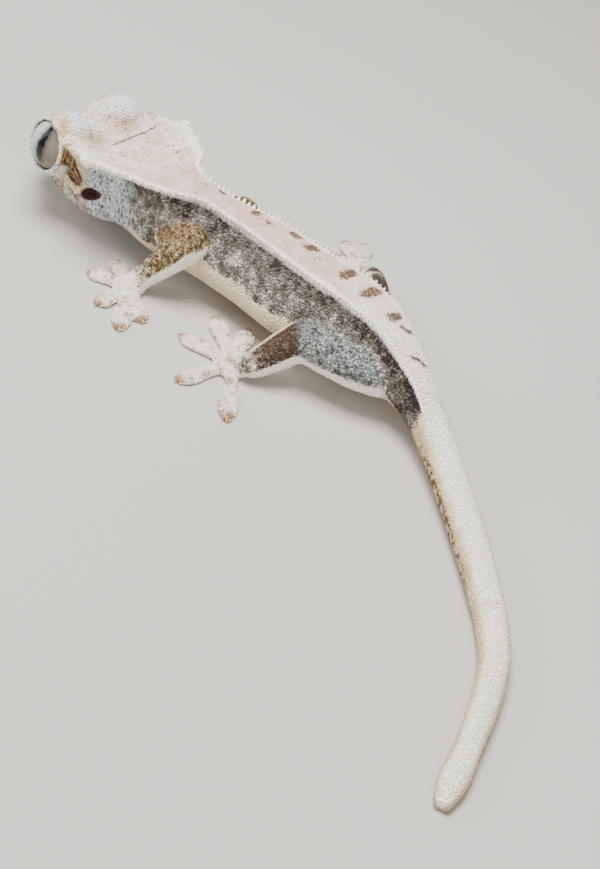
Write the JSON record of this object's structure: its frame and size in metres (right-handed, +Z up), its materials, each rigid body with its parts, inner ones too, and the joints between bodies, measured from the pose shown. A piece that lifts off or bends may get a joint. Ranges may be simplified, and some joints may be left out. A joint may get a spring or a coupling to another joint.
{
  "type": "crested gecko figure",
  "caption": "Life-size still model of a young crested gecko standing on its four feet with its head raised and its tail laid on the floor in a curve to its left.",
  "frame": {"origin": "on the floor, at the middle of the footprint's box", "axes": "+X the way the trunk points, from the hips to the head; +Y to the animal's left; +Z up from the floor"},
  "size_m": [0.0578, 0.0374, 0.0085],
  "materials": {
    "skin": "dry, finely scaled skin, cream and pale pink above, mottled grey brown on the flanks",
    "eye": "wet and clear over a silver-grey iris"
  },
  "bodies": {
    "root": {"head": "skin", "neck": "skin", "torso": "skin", "tail_root": "skin", "tail_middle": "skin", "tail_end": "skin", "upper_arm_left": "skin", "forearm_left": "skin", "hand_left": "skin", "upper_arm_right": "skin", "forearm_right": "skin", "hand_right": "skin", "thigh_left": "skin", "shank_left": "skin", "foot_left": "skin", "thigh_right": "skin", "shank_right": "skin", "foot_right": "skin", "eye_left": "eye", "eye_right": "eye"}
  },
  "joints": []
}
